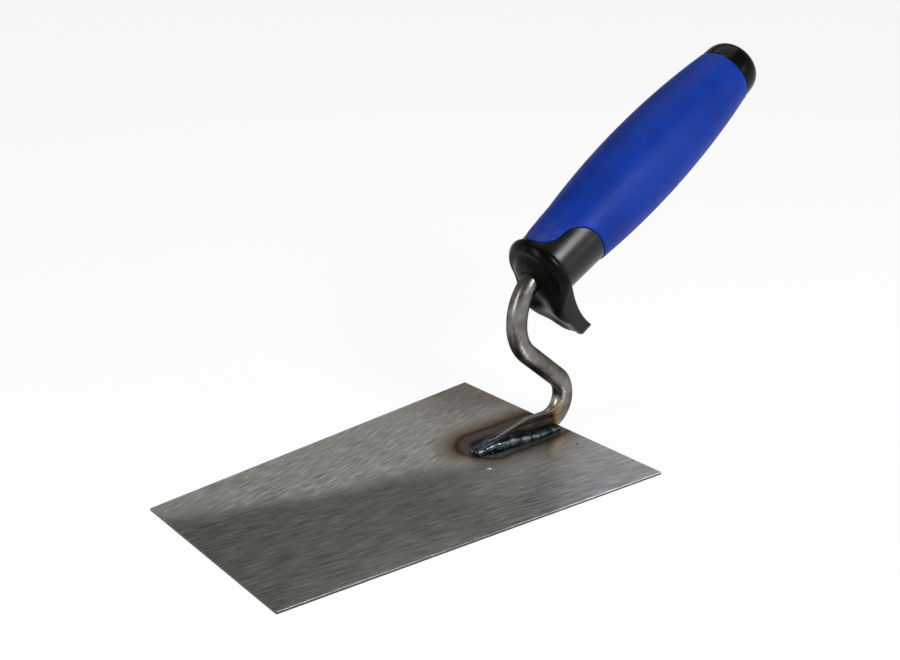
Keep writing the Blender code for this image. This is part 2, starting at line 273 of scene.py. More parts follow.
def grownPiece(name, mesh, tree, values):
    # the tree's result becomes a plain mesh, and the modifier goes
    seed = makeObject(name + "Seed", mesh)
    modifier = seed.modifiers.new(tree.name, "NODES")
    modifier.node_group = tree
    for item in tree.interface.items_tree:
        if item.item_type == "SOCKET" and item.in_out == "INPUT" and item.name in values:
            modifier[item.identifier] = values[item.name]
    bpy.context.view_layer.update()
    grown = bpy.data.meshes.new_from_object(seed.evaluated_get(bpy.context.evaluated_depsgraph_get()))
    seed.modifiers.clear()
    bpy.data.objects.remove(seed)
    grown.name = name
    return makeObject(name, grown)


# where the bar, the foot and the handle lie

neck = {
    **inMillimetres(
        rodRadius=4.1, crankSetback=22.5, crankHeight=49, crankUpright=1.1, upperBend=21,
        middleBend=17.5, heelBend=10.1, heelSetback=6.5, bendInGuard=2.3,
    ),
    "slope": radians(40),
    "tilt": radians(31.5),
}

foot = {
    **inMillimetres(
        length=37.5, level=9, tipHeight=0.9, topHalf=0.7, baseHalf=3.6, tipHalf=0.9, gap=0.3,
    ),
    "hollow": 1.7,
    "forgedFrom": 0.3,
}

rod = neck["rodRadius"]
backEdge = bladeHigh.x
footBase = bladeHigh.z + foot["gap"]


def inPlane(x, z):
    return Vector((x, 0, z))


def heading(angle):
    return inPlane(cos(angle), sin(angle))


frontMost = backEdge - neck["crankSetback"]
upperCenter = inPlane(frontMost + neck["upperBend"], neck["crankHeight"] + neck["crankUpright"])
middleCenter = inPlane(frontMost + neck["middleBend"], neck["crankHeight"])
alongHandle = heading(neck["tilt"])
aboveHandle = heading(neck["tilt"] + pi / 2)
slopeTurn = 1.5 * pi - neck["slope"]
slopeStart = middleCenter + heading(slopeTurn) * neck["middleBend"]
heelX = backEdge - neck["heelSetback"]
heelRun = heelX + neck["heelBend"] * sin(neck["slope"]) - slopeStart.x
heelCenter = inPlane(
    heelX,
    slopeStart.z - heelRun * tan(neck["slope"]) - neck["heelBend"] * cos(neck["slope"]),
)
heelRidge = heelCenter.z - neck["heelBend"] + rod
levelEnd = heelX - foot["level"]
footTip = heelX - foot["length"]
handleZero = upperCenter + aboveHandle * neck["upperBend"] + alongHandle * neck["bendInGuard"]
handleFrame = Matrix.Translation(handleZero) @ Matrix.Rotation(pi / 2 - neck["tilt"], 4, "Y")


def arcPoints(center, radius, start, end, count):
    turns = [blendValue(start, end, share) for share in spread(count)]
    return [(center + heading(turn) * radius, heading(turn)) for turn in turns]


def footTaper(x, heelValue, tipValue):
    share = min(max((levelEnd - x) / (levelEnd - footTip), 0), 1)
    return blendValue(heelValue, tipValue, share)


def footRidge(x):
    return footTaper(x, heelRidge, footBase + foot["tipHeight"])


def footHalfWidth(x):
    return footTaper(x, foot["baseHalf"], foot["tipHalf"])


# steel finishes

bladeFinish = {
    # the far pass is painted much lighter than the near one, a painted reflection over the real change of grind
    "farPassReflected": (0.6, 0.585, 0.55),
    "cool": (0.24, 0.245, 0.226),
    # a painted reflection of a lamp, laid on the near rear of the plate
    "paintedReflection": (0.78, 0.775, 0.75),
    "brown": (0.36, 0.325, 0.285),
    "edge": (0.09, 0.088, 0.083),
    "glance": (0.55, 0.54, 0.52, 1),
    "roughness": (0.3, 0.46),
    "cloudScale": 28,
    "wobble": 16 * mm,
    "passSlope": 0.32,
    "passEdge": (-4 * mm, 12 * mm),
    "passes": [(radians(-13), 170), (radians(9), 130)],  # turn and stretch, far then near
    "fineScale": 3000,
    "broadScale": 1250,
    "broadStretch": 0.6,
    "broadShare": 0.55,
    "streakShare": 0.85,
    "streakTones": [(0.3, 0.42), (0.5, 0.95), (0.7, 1.75)],
    # where the painted reflection lies, along and across the near rear
    "nearRear": [(0, 62 * mm), (-2 * mm, 30 * mm)],
    "farRear": [(30 * mm, 76 * mm), (12 * mm, 40 * mm)],
    "relief": 0.03 * mm,
    "reliefStrength": 0.55,
    "cloudRelief": 0.3,
}

heatTint = {
    "line": (45 * mm, 74 * mm),
    "shift": -1.5 * mm,
    "raggedScale": 90,
    "ragged": 3 * mm,
    "wobbleShare": 0.15,
    "lean": 0.2,
    "wideFrom": (-18 * mm, 2 * mm),
    "widths": (19 * mm, 25 * mm),
    "rings": [
        (0.0, (0.03, 0.034, 0.042)),
        (0.27, (0.05, 0.055, 0.07)),
        (0.34, (0.26, 0.265, 0.265)),
        (0.45, (0.26, 0.255, 0.25)),
        (0.51, (0.12, 0.085, 0.065)),
        (0.56, (0.24, 0.165, 0.095)),
        (0.72, (0.36, 0.3, 0.21)),
    ],
    "hold": [(0.0, 1.0), (0.52, 1.0), (0.95, 0.0)],
    "farBrown": (0.62, 0.5, 0.42),
    "farFrom": (-2 * mm, 4 * mm),
}


def makeHeatTint(x, y, wobble, coords):
    # the tint's colour and its hold, by distance from the foot's line on the blade
    lineStart, lineEnd = heatTint["line"]
    nearest = maths("MINIMUM", maths("MAXIMUM", x, lineStart), lineEnd)
    sideways = plus(y, times(remap(y, -2 * mm, 2 * mm), heatTint["shift"]))
    squares = [maths("POWER", part, 2.0) for part in (minus(x, nearest), maths("ABSOLUTE", sideways))]
    away = maths("SQRT", plus(*squares))
    ragged = minus(noiseOf(coords, heatTint["raggedScale"], 4, 0.6), 0.5)
    away = plus(away, times(wobble, heatTint["wobbleShare"]))
    away = plus(away, times(ragged, heatTint["ragged"]))
    # it runs wider on the far side and past the tip
    width = remap(minus(y, times(x, heatTint["lean"])), *heatTint["wideFrom"], *heatTint["widths"])
    reach = maths("DIVIDE", away, width)
    tint = ramp(reach, heatTint["rings"])
    browned = mixColors(1.0, tint, heatTint["farBrown"], "MULTIPLY")
    return mixColors(remap(y, *heatTint["farFrom"]), tint, browned), ramp(reach, heatTint["hold"])


def makeBladeSteel():
    look = bladeFinish
    material, shader, coords = newMaterial("groundSteel", 1.0, Specular_Tint=look["glance"])
    x, y, z = partsOf(coords)
    cloud = noiseOf(coords, look["cloudScale"], 3)
    wobble = times(minus(cloud, 0.5), look["wobble"])
    # the two grinding passes meet on a diagonal from the foot's tip to the front far corner
    side = plus(plus(times(x, look["passSlope"]), y), wobble)
    farPass = remap(side, *look["passEdge"])
    lines = []
    for turn, length in look["passes"]:
        fine = noiseOf(stretched(coords, (length, look["fineScale"], 1), turn), 1, 4, 0.66)
        broadStretch = (length * look["broadStretch"], look["broadScale"], 1)
        broad = noiseOf(stretched(coords, broadStretch, turn), 1, 3, 0.6)
        lines.append(plus(times(fine, 1 - look["broadShare"]), times(broad, look["broadShare"])))
    farLines, nearLines = lines
    streaks = outputOf(coords.id_data, "ShaderNodeMix", {0: farPass, 2: nearLines, 3: farLines})
    # tone of the two passes, a painted reflection of a lamp on the near rear, and a browner far rear corner
    # the far pass's lighter tone is a painted reflection; the two passes and their streaks are real grinding
    tone = mixColors(farPass, look["cool"], look["farPassReflected"])
    corners = (("nearRear", minus(wobble, y), "paintedReflection"), ("farRear", plus(wobble, y), "brown"))
    for corner, across, color in corners:
        alongEdge, acrossEdge = look[corner]
        share = times(remap(plus(x, wobble), *alongEdge), remap(across, *acrossEdge))
        tone = mixColors(share, tone, look[color])
    tone = mixColors(look["streakShare"], tone, ramp(streaks, look["streakTones"]), "MULTIPLY")
    tint, hold = makeHeatTint(x, y, wobble, coords)
    tone = mixColors(hold, tone, tint)
    tone = mixColors(readAttribute(coords.id_data, "edgeShare"), tone, look["edge"])
    rough = remap(streaks, 0.35, 0.65, *look["roughness"])
    normal = bumpOf(plus(streaks, times(cloud, look["cloudRelief"])), look["relief"], look["reliefStrength"])
    feed(shader, Base_Color=tone, Roughness=rough, Normal=normal)
    return material


neckFinish = {
    "bare": (0.23, 0.222, 0.206),
    "dark": (0.125, 0.118, 0.107),
    "gold": (0.42, 0.24, 0.07),
    "scorched": (0.008, 0.005, 0.003),
    # a painted highlight for the ridge's sharp top
    "land": (0.4, 0.395, 0.375),
    "glance": (0.35, 0.33, 0.3, 1),
    "roughness": (0.26, 0.36),
    "oxideRoughness": 0.18,
    "oxideMetal": 0.04,
    "oxideShine": 0.07,
    "mottleScale": 160,
    "grainScale": 1500,
    "wobble": 5 * mm,
    "streakStretch": (90, 90, 700),
    "goldBelow": (13.5 * mm, 10.5 * mm),
    "goldBefore": (82 * mm, 78 * mm),
    "goldAfter": (71 * mm, 76 * mm),
    "scorchBelow": (11.5 * mm, 8.5 * mm),
    "scorchBefore": (80 * mm, 76 * mm),
    "swell": 0.12 * mm,
    "swellStrength": 0.5,
    "grain": 0.006 * mm,
    "grainStrength": 0.06,
}


def makeNeckSteel():
    look = neckFinish
    material, shader, coords = newMaterial("forgedSteel", 1.0, Specular_Tint=look["glance"])
    x, y, z = partsOf(coords)
    mottle = noiseOf(coords, look["mottleScale"], 5, 0.6)
    tone = mixColors(remap(mottle, 0.38, 0.66), look["dark"], look["bare"])
    level = plus(z, times(minus(mottle, 0.5), look["wobble"]))
    streak = noiseOf(stretched(coords, look["streakStretch"]), 1, 4, 0.65)
    # gold streaks at the heel, scorched dark along the flank, and the ridge's land kept free of scorch and
    # painted lighter, a painted highlight along its sharp top
    gold = times(remap(level, *look["goldBelow"]), remap(x, *look["goldBefore"]))
    gold = times(gold, remap(streak, 0.42, 0.62, 0.15, 1.0))
    gold = times(gold, remap(x, *look["goldAfter"]))
    tone = mixColors(gold, tone, look["gold"])
    scorch = times(remap(x, *look["scorchBefore"]), remap(level, *look["scorchBelow"]))
    scorch = times(scorch, remap(streak, 0.35, 0.75, 1.0, 0.8))
    tone = mixColors(scorch, tone, look["scorched"])
    land = readAttribute(coords.id_data, "landShare")
    tone = mixColors(times(land, remap(mottle, 0.3, 0.5, 0.7, 1.0)), tone, look["land"])
    # oxide is duller and less metallic than the bare bar
    oxide = times(scorch, minus(1.0, land))
    rough = plus(remap(mottle, 0.3, 0.7, *look["roughness"]), times(oxide, look["oxideRoughness"]))
    metal = remap(oxide, 0.0, 1.0, 1.0, look["oxideMetal"])
    shine = remap(oxide, 0.0, 1.0, 0.5, look["oxideShine"])
    swell = bumpOf(noiseOf(coords, look["mottleScale"], 1, 0.4), look["swell"], look["swellStrength"])
    normal = bumpOf(noiseOf(coords, look["grainScale"], 3, 0.6), look["grain"], look["grainStrength"], swell)
    feed(shader, Base_Color=tone, Metallic=metal, Specular_IOR_Level=shine, Roughness=rough, Normal=normal)
    return material


weldFinish = {
    "scale": (0.035, 0.043, 0.048),
    "blue": (0.085, 0.105, 0.117),
    "rust": (0.03, 0.02, 0.013),
    "rustShare": 0.7,
    "glance": (0.6, 0.7, 0.8, 1),
    "roughness": (0.16, 0.34),
    "patchScale": 260,
    "lumpScale": 900,
    "relief": 0.04 * mm,
    "reliefStrength": 0.12,
}


def makeWeldSteel():
    look = weldFinish
    material, shader, coords = newMaterial("weldSteel", 1.0, Specular_Tint=look["glance"])
    patches = noiseOf(coords, look["patchScale"], 4, 0.6)
    lumps = noiseOf(coords, look["lumpScale"], 3, 0.55)
    tone = mixColors(remap(patches, 0.4, 0.6), look["scale"], look["blue"])
    tone = mixColors(remap(lumps, 0.6, 0.72, 0.0, look["rustShare"]), tone, look["rust"])
    rough = remap(patches, 0.3, 0.7, *look["roughness"])
    feed(shader, Base_Color=tone, Roughness=rough, Normal=bumpOf(lumps, look["relief"], look["reliefStrength"]))
    return material


# moulded finishes

def makeMoulded(name, look):
    # dark moulded plastic with a fine grain and faint handling marks
    material, shader, coords = newMaterial(name, 0.0, IOR=look["ior"], Specular_IOR_Level=look["shine"])
    cloud = noiseOf(coords, look["cloudScale"], 4, 0.6)
    grain = noiseOf(coords, look["grainScale"], 2, 0.6)
    tone = mixColors(remap(cloud, 0.35, 0.7), look["dark"], look["light"])
    tone = mixColors(remap(grain, 0.58, 0.75, 0.0, look["speck"]), tone, look["dust"])
    rough = remap(cloud, 0.3, 0.7, *look["roughness"])
    normal = bumpOf(grain, look["grainDepth"], look["grainStrength"])
    feed(shader, Base_Color=tone, Roughness=rough, Normal=normal)
    return material


guardFinish = {
    "ior": 1.5,
    "shine": 0.07,
    "cloudScale": 60,
    "grainScale": 2600,
    "dark": (0.0012, 0.0012, 0.0013),
    "light": (0.004, 0.004, 0.0042),
    "dust": (0.02, 0.02, 0.02),
    "speck": 0.25,
    "roughness": (0.26, 0.34),
    "grainDepth": 0.02 * mm,
    "grainStrength": 0.35,
}

collarFinish = {
    "ior": 1.5,
    "shine": 0.3,
    "cloudScale": 120,
    "grainScale": 2200,
    "dark": (0.0015, 0.0015, 0.0015),
    "light": (0.003, 0.003, 0.0029),
    "dust": (0.05, 0.048, 0.046),
    "speck": 0.35,
    "roughness": (0.27, 0.33),
    "grainDepth": 0.03 * mm,
    "grainStrength": 0.55,
}

capFinish = {
    "ior": 1.5,
    "shine": 0.1,
    "cloudScale": 70,
    "grainScale": 1800,
    "dark": (0.001, 0.001, 0.0012),
    "light": (0.002, 0.002, 0.002),
    "dust": (0.012, 0.011, 0.01),
    "speck": 0.15,
    "roughness": (0.16, 0.24),
    "grainDepth": 0.015 * mm,
    "grainStrength": 0.25,
}

gripFinish = {
    "blue": (0.0025, 0.027, 0.25),
    "deep": (0.002, 0.02, 0.19),
    "dust": (0.045, 0.065, 0.15),
    "dustShare": 0.2,
    "grey": (0.09, 0.1, 0.12),
    "ior": 1.48,
    "shine": 0.1,
    "roughness": (0.42, 0.55),
    "cloudScale": 34,
    "smudgeScale": 150,
    "grainScale": 2400,
    "grainDepth": 0.02 * mm,
    "grainStrength": 0.4,
    "scratchStretch": (220, 1500, 400),
    "scratchTurn": radians(35),
}


def makeGripRubber():
    look = gripFinish
    plain = {"IOR": look["ior"], "Specular_IOR_Level": look["shine"]}
    material, shader, coords = newMaterial("blueElastomer", 0.0, **plain)
    cloud = noiseOf(coords, look["cloudScale"], 4, 0.55)
    smudge = noiseOf(coords, look["smudgeScale"], 4, 0.65)
    grain = noiseOf(coords, look["grainScale"], 2, 0.6)
    tone = mixColors(remap(cloud, 0.36, 0.64), look["deep"], look["blue"])
    tone = mixColors(remap(smudge, 0.54, 0.78, 0.0, look["dustShare"]), tone, look["dust"])
    # thumb dust and fine scratches near the tongue's tip
    scratches = noiseOf(stretched(coords, look["scratchStretch"], look["scratchTurn"]), 1, 4, 0.7)
    dusty = times(readAttribute(coords.id_data, "tongueShare"), remap(scratches, 0.45, 0.7, 0.05, 0.5))
    tone = mixColors(dusty, tone, look["grey"])
    rough = remap(smudge, 0.35, 0.7, *look["roughness"])
    normal = bumpOf(grain, look["grainDepth"], look["grainStrength"])
    feed(shader, Base_Color=tone, Roughness=rough, Normal=normal)
    return material


bladeSteel = makeBladeSteel()
neckSteel = makeNeckSteel()
weldSteel = makeWeldSteel()
guardPlastic = makeMoulded("guardPlastic", guardFinish)
collarPlastic = makeMoulded("collarPlastic", collarFinish)
capPlastic = makeMoulded("capPlastic", capFinish)
# the flash is painted about ten times lighter than the guard, a painted highlight on its ridge
flashPlastic = makeMoulded("flashPlastic", {**guardFinish, "dark": (0.03,) * 3, "light": (0.05,) * 3})
gripRubber = makeGripRubber()
print("finishes ready")

# the blade: a ground plate with softened, slightly nicked edges

plate = {
    **inMillimetres(
        frontHalf=42, backHalf=57, cornerRadius=0.35, edgeRound=0.3, nickDepth=0.07, burrDepth=0.22,
    ),
    "sideSteps": 300,
    "nickScale": 900,
}


def plateOutline():
    # (point, outward normal) round the plate, seen from above
    corners = [
        Vector((bladeHigh.x, -plate["backHalf"])),
        Vector((bladeHigh.x, plate["backHalf"])),
        Vector((bladeLow.x, plate["frontHalf"])),
        Vector((bladeLow.x, -plate["frontHalf"])),
    ]
    radius = plate["cornerRadius"]
    outline = []
    for i, corner in enumerate(corners):
        before, after = corners[i - 1], corners[(i + 1) % 4]
        into, out = (corner - before).normalized(), (after - corner).normalized()
        normalIn, normalOut = Vector((into.y, -into.x)), Vector((out.y, -out.x))
        center = corner - (normalIn + normalOut) * radius / (1 + normalIn.dot(normalOut))
        for share in spread(6):
            normal = normalIn.lerp(normalOut, share).normalized()
            outline.append((center + normal * radius, normal))
        nextOut = (corners[(i + 2) % 4] - after).normalized()
        normalNext = Vector((nextOut.y, -nextOut.x))
        endCenter = after - (normalOut + normalNext) * radius / (1 + normalOut.dot(normalNext))
        start, end = center + normalOut * radius, endCenter + normalOut * radius
        for share in spread(plate["sideSteps"])[1:-1]:
            outline.append((start.lerp(end, share), normalOut))
    return outline


def plateNick(point):
    # fine wear all round, with a rougher burr by the near front corner
    spot = Vector((point.x, point.y, 0)) * plate["nickScale"]
    wear = max(0, noise.noise(spot)) * plate["nickDepth"]
    nearFront = smoothStep(-point.x, 20 * mm, 75 * mm) * smoothStep(-point.y, 20 * mm, 42 * mm)
    burr = max(0, noise.noise(spot * 0.6 + Vector((9, 4, 2))) - 0.25) * plate["burrDepth"] * nearFront
    return wear + burr


def makeBladePlate():
    outline = plateOutline()
    nicks = [plateNick(point) for point, normal in outline]
    low, high, soft = bladeLow.z, bladeHigh.z, plate["edgeRound"]
    profile = [(soft * (1 - sine), low + soft * (1 - cosine)) for sine, cosine in quarterTurn(5)]
    profile += [(inset, high + low - z) for inset, z in reversed(profile)]
    rings = [
        [(*(point - normal * (inset + nick)), z) for (point, normal), nick in zip(outline, nicks)]
        for inset, z in profile
    ]
    mesh = loftMesh("bladePlate", rings, sharpAngle=50)
    heights = [vert.co.z for vert in mesh.vertices]
    underside = low + (high - low) / 8
    shares = [smoothStep(high - z, 0.1 * mm, 0.3 * mm) if z > underside else 0.4 for z in heights]
    setAttribute(mesh, "edgeShare", shares)
    return finishPiece(makeObject("bladePlate", mesh), "ground_steel", bladeSteel, "blade")


makeBladePlate()

# the neck: a round bar, cranked twice, its foot forged to a narrow ridge with hollow flanks

bar = {
    **inMillimetres(
        tangLength=86, tangChamfer=1.2, hammer=0.09, ridgeWave=0.16,
    ),
    "sides": 72,
    "upperSteps": 30,
    "middleSteps": 26,
    "slopeSteps": 12,
    "heelSteps": 54,
    "footSteps": 90,
    "landEdge": (0.66, 0.8),
    "hammerScale": 220,
    "ridgeScale": 420,
    "plainShare": 0.15,
}


def barRing(front, back, radius, forged, baseHalf):
    # an ellipse at forged 0, a hollow-flanked wedge with a narrow land at 1
    middle, half = (front + back) / 2, (front - back) / 2
    ring = []
    for i in range(bar["sides"]):
        angle = tau * i / bar["sides"]
        side, rise = sin(angle), cos(angle)
        reach = max(abs(side), abs(rise))
        squareSide, squareRise = side / reach, rise / reach
        lower = (1 - squareRise) / 2
        width = foot["topHalf"] + (baseHalf - foot["topHalf"]) * lower ** foot["hollow"]
        y = radius * side * (1 - forged) + width * squareSide * forged
        up = rise * (1 - forged) + squareRise * forged
        ring.append(middle + half * up + Vector((0, y, 0)))
    return ring


def roundRing(point, frontWay, radius=rod, forged=0.0):
    depth = radius
    if frontWay.z > 0 and (point - frontWay * radius).z < footBase:
        depth = (point.z - footBase) / frontWay.z
    return barRing(point + frontWay * radius, point - frontWay * depth, radius, forged, foot["baseHalf"])


def makeNeckBar():
    tangEnd = handleZero + alongHandle * bar["tangLength"]
    chamfer = bar["tangChamfer"]
    rings = [
        roundRing(tangEnd, aboveHandle, rod - chamfer),
        roundRing(tangEnd - alongHandle * chamfer, aboveHandle),
    ]
    crank = arcPoints(
        upperCenter, neck["upperBend"], neck["tilt"] + pi / 2, pi, bar["upperSteps"]
    )
    crank += arcPoints(middleCenter, neck["middleBend"], pi, slopeTurn, bar["middleSteps"])
    rings += [roundRing(point, outward) for point, outward in crank]
    heel = arcPoints(
        heelCenter, neck["heelBend"], pi / 2 - neck["slope"], -pi / 2, bar["heelSteps"]
    )
    lastCrank, firstHeel = crank[-1][0], heel[0][0]
    for share in spread(bar["slopeSteps"])[1:-1]:
        rings.append(roundRing(lastCrank.lerp(firstHeel, share), crank[-1][1]))
    forgedShares = [0.0] * len(rings)
    for share, (point, outward) in zip(spread(len(heel)), heel):
        forged = max(0, share - foot["forgedFrom"])
        rings.append(roundRing(point, -outward, forged=forged))
        forgedShares.append(smoothStep(share, 0.3, 0.75))
    atHeel = 1 - foot["forgedFrom"]
    for share in spread(bar["footSteps"] + 1)[1:]:
        x = heelX - foot["length"] * share
        forged = min(1, atHeel + (1 - atHeel) * (heelX - x) / foot["level"])
        top = inPlane(x, footRidge(x))
        rings.append(barRing(top, inPlane(x, footBase), rod, forged, footHalfWidth(x)))
        forgedShares.append(1.0)
    mesh = loftMesh("neckBar", rings, sharpAngle=48)
    land = []
    sides = bar["sides"]
    for index, vert in enumerate(mesh.vertices):
        step, turn = divmod(index, sides)
        share = forgedShares[step]
        angle = tau * turn / sides
        onLand = share * smoothStep(cos(angle), *bar["landEdge"])
        land.append(onLand)
        # hammer marks, deeper where the bar was forged
        spot = vert.co * bar["hammerScale"]
        depth = blendValue(bar["plainShare"], 1, share) * bar["hammer"]
        inward = Vector((0, copysign(1, vert.co.y), 0)) if share > 0.5 else Vector()
        vert.co -= inward * max(0, noise.noise(spot) + 0.1) * depth
        vert.co.z -= onLand * max(0, noise.noise(vert.co * bar["ridgeScale"])) * bar["ridgeWave"]
    setAttribute(mesh, "landShare", land)
    return finishPiece(makeObject("neckBar", mesh), "rod_steel", neckSteel, "neck")


makeNeckBar()

# weld beads: overlapping puddles laid along each side of the foot and fused

bead = {
    **inMillimetres(
        fromBackEdge=4.6, shortOfTip=0.6, spacing=0.62, radius=3.0, tipInwards=0.55, lift=0.15,
        voxel=0.2,
    ),
    "heelShare": 0.75,
    "tipShare": 0.6,
    "outwards": {"weldBeadNear": 0.95 * mm, "weldBeadFar": 0.3 * mm},
    "tipLift": {"weldBeadNear": 1.0 * mm, "weldBeadFar": 0.1 * mm},
    "unevenness": 0.03,
    "melt": 12,
    "wander": 0.25 * mm,
    "wanderScale": 300,
    "seeds": {"weldBeadNear": 5, "weldBeadFar": 11},
}


def makeBeadTree():
    kinds = {"Puddle Radius": "Float", "Unevenness": "Float", "Voxel": "Float", "Melt": "Int", "Seed": "Int"}
    tree, start, output = newPieceTree("weldPuddles", kinds)
    sphere = {"Segments": 28, "Rings": 18, "Radius": start.outputs["Puddle Radius"]}
    ball = outputOf(tree, "GeometryNodeMeshUVSphere", sphere)
    size = outputOf(tree, "GeometryNodeInputNamedAttribute", {"Name": "puddleSize"}, data_type="FLOAT")
    unevenness, seed = start.outputs["Unevenness"], start.outputs["Seed"]
    spreadOut = {2: minus(1.0, unevenness), 3: plus(1.0, unevenness), "Seed": seed}
    chance = addNode(tree, "FunctionNodeRandomValue", spreadOut, data_type="FLOAT").outputs[1]
    puddles = outputOf(
        tree,
        "GeometryNodeInstanceOnPoints",
        {"Points": start.outputs["Geometry"], "Instance": ball, "Scale": times(size, chance)},
    )
    loose = outputOf(tree, "GeometryNodeRealizeInstances", {"Geometry": puddles})
    volume = outputOf(
        tree,
        "GeometryNodeMeshToVolume",
        {"Mesh": loose, "Voxel Size": start.outputs["Voxel"], "Interior Band Width": 1.2 * mm},
        resolution_mode="VOXEL_SIZE",
    )
    skin = outputOf(tree, "GeometryNodeVolumeToMesh", {"Volume": volume, "Threshold": 0.1})
    # the puddles' edges melt into each other
    place = tree.nodes.new("GeometryNodeInputPosition").outputs[0]
    steps = {"Iterations": start.outputs["Melt"]}
    melted = addNode(tree, "GeometryNodeBlurAttribute", steps, data_type="FLOAT_VECTOR")
    vectorIn = next(item for item in melted.inputs if item.type == "VECTOR" and item.enabled)
    tree.links.new(place, vectorIn)
    vectorOut = next(item for item in melted.outputs if item.type == "VECTOR" and item.enabled)
    fused = outputOf(tree, "GeometryNodeSetPosition", {"Geometry": skin, "Position": vectorOut})
    endTree(tree, fused, output, weldSteel)
    return tree


def makeWeldBead(name, side, node, tree):
    start, end = backEdge - bead["fromBackEdge"], footTip + bead["shortOfTip"]
    steps = round((start - end) / bead["spacing"])
    points, sizes = [], []
    for share in spread(steps + 1):
        x = blendValue(start, end, share)
        # thin at the heel, fullest along the middle, climbing over the foot towards its tip
        reach = blendValue(bead["heelShare"], 1, smoothStep(share, 0, 0.4))
        reach *= blendValue(1, bead["tipShare"], smoothStep(share, 0.7, 1))
        climb = smoothStep(share, 0.25, 0.65) * (1 - 0.6 * smoothStep(share, 0.8, 1))
        wander = noise.noise(Vector((x * bead["wanderScale"], side * 3, 0))) * bead["wander"]
        y = footHalfWidth(x) + bead["outwards"][name] + wander - climb * bead["tipInwards"]
        points.append((x, side * y, footBase + bead["lift"] + climb * bead["tipLift"][name]))
        sizes.append(reach)
    mesh = meshFrom(name, points)
    setAttribute(mesh, "puddleSize", sizes)
    values = {
        "Puddle Radius": bead["radius"],
        "Unevenness": bead["unevenness"],
        "Voxel": bead["voxel"],
        "Melt": bead["melt"],
        "Seed": bead["seeds"][name],
    }
    piece = grownPiece(name, mesh, tree, values)
    cutBelow(piece.data, bladeHigh.z)
    return finishPiece(piece, "weld_steel", None, node)


def cutBelow(mesh, height):
    # the bead sits on the blade, so what is under it goes and the cut is filled
    bm = bmesh.new()
    bm.from_mesh(mesh)
    everything = bm.verts[:] + bm.edges[:] + bm.faces[:]
    cut = bmesh.ops.bisect_plane(
        bm, geom=everything, plane_co=(0, 0, height), plane_no=(0, 0, -1), clear_outer=True
    )
    edges = [item for item in cut["geom_cut"] if isinstance(item, bmesh.types.BMEdge)]
    bmesh.ops.contextual_create(bm, geom=edges)
    bmesh.ops.recalc_face_normals(bm, faces=bm.faces)
    bm.to_mesh(mesh)
    bm.free()
    mesh.shade_smooth()
    mesh.set_sharp_from_angle(angle=radians(60))


beadTree = makeBeadTree()
makeWeldBead("weldBeadNear", -1, "weld_bead_right", beadTree)
makeWeldBead("weldBeadFar", 1, "weld_bead_left", beadTree)

# spatter: droplets thrown on the blade beside the weld, and nodules at the bead's heel end

spatter = {
    # x, y and radius in mm
    "grey": [(32.5, -12.5, 0.95)],
    "dark": [(73.0, -19.5, 0.42), (60.5, -15.5, 0.25), (74.0, 19.0, 0.34)],
    "lift": 0.05,
    "flatness": 0.38,
}

nodules = {
    # x, y, radius and z in mm
    "flatness": 0.9,
    "drops": [
        (76.9, -5.2, 1.1, 1.9),
        (75.2, -6.4, 0.8, 2.4),
        (77.2, 4.6, 1.0, 3.0),
        (75.6, 6.2, 0.8, 2.3),
        (37.4, -2.6, 0.75, 1.7),
        (41.5, -4.6, 0.6, 1.6),
    ],
}


def makeDropTree():
    tree, start, output = newPieceTree("weldDrops", {"Flatness": "Float", "Seed": "Int"})
    ball = outputOf(tree, "GeometryNodeMeshIcoSphere", {"Radius": 1.0, "Subdivisions": 3})
    size = outputOf(tree, "GeometryNodeInputNamedAttribute", {"Name": "dropSize"}, data_type="FLOAT")
    # the droplets differ in length and width, not in height
    chance = {0: (0.85, 0.85, 1), 1: (1.3, 1.3, 1), "Seed": start.outputs["Seed"]}
    shape = outputOf(tree, "FunctionNodeRandomValue", chance, data_type="FLOAT_VECTOR")
    flat = outputOf(tree, "ShaderNodeCombineXYZ", {0: 1.0, 1: 1.0, 2: start.outputs["Flatness"]})
    uneven = outputOf(tree, "ShaderNodeVectorMath", {0: shape, 1: flat}, operation="MULTIPLY")
    scale = outputOf(tree, "ShaderNodeVectorMath", {0: uneven, "Scale": size}, operation="SCALE")
    placed = {"Points": start.outputs["Geometry"], "Instance": ball, "Scale": scale}
    drops = outputOf(tree, "GeometryNodeInstanceOnPoints", placed)
    endTree(tree, drops, output, weldSteel)
    return tree


def makeDrops(name, drops, flatness, seed, slot="weld_steel", material=weldSteel):
    mesh = meshFrom(name, [(x * mm, y * mm, z * mm) for x, y, radius, z in drops])
    setAttribute(mesh, "dropSize", [radius * mm for x, y, radius, z in drops])
    piece = grownPiece(name, mesh, dropTree, {"Flatness": flatness, "Seed": seed})
    return finishPiece(piece, slot, material)


def onBlade(drops):
    return [(x, y, radius, bladeHigh.z / mm + spatter["lift"]) for x, y, radius in drops]


dropTree = makeDropTree()
makeDrops("weldSpatter", onBlade(spatter["dark"]), spatter["flatness"], 3)
makeDrops("greySpatter", onBlade(spatter["grey"]), spatter["flatness"], 4, "ground_steel", bladeSteel)
makeDrops("weldNodules", nodules["drops"], nodules["flatness"], 8)

# handle: collar and core, soft sleeve with its thumb tongue, end cap

handle = {
    **inMillimetres(
        collarLength=21.9, collarFront=13.2, collarRear=14.2, gripLength=121.2, proud=0.4, wall=2.5,
        bellyAt=64, belly=17, rear=12.85, tongueTip=8, tongueAt=2.4, flare=12.5, gap=0.3,
    ),
    "aroundTip": 22,
    "aroundFlare": 26,
    "aroundRing": 44,
    "rows": 64,
}


def collarRadius(z):
    return blendValue(handle["collarFront"], handle["collarRear"], z / handle["collarLength"])


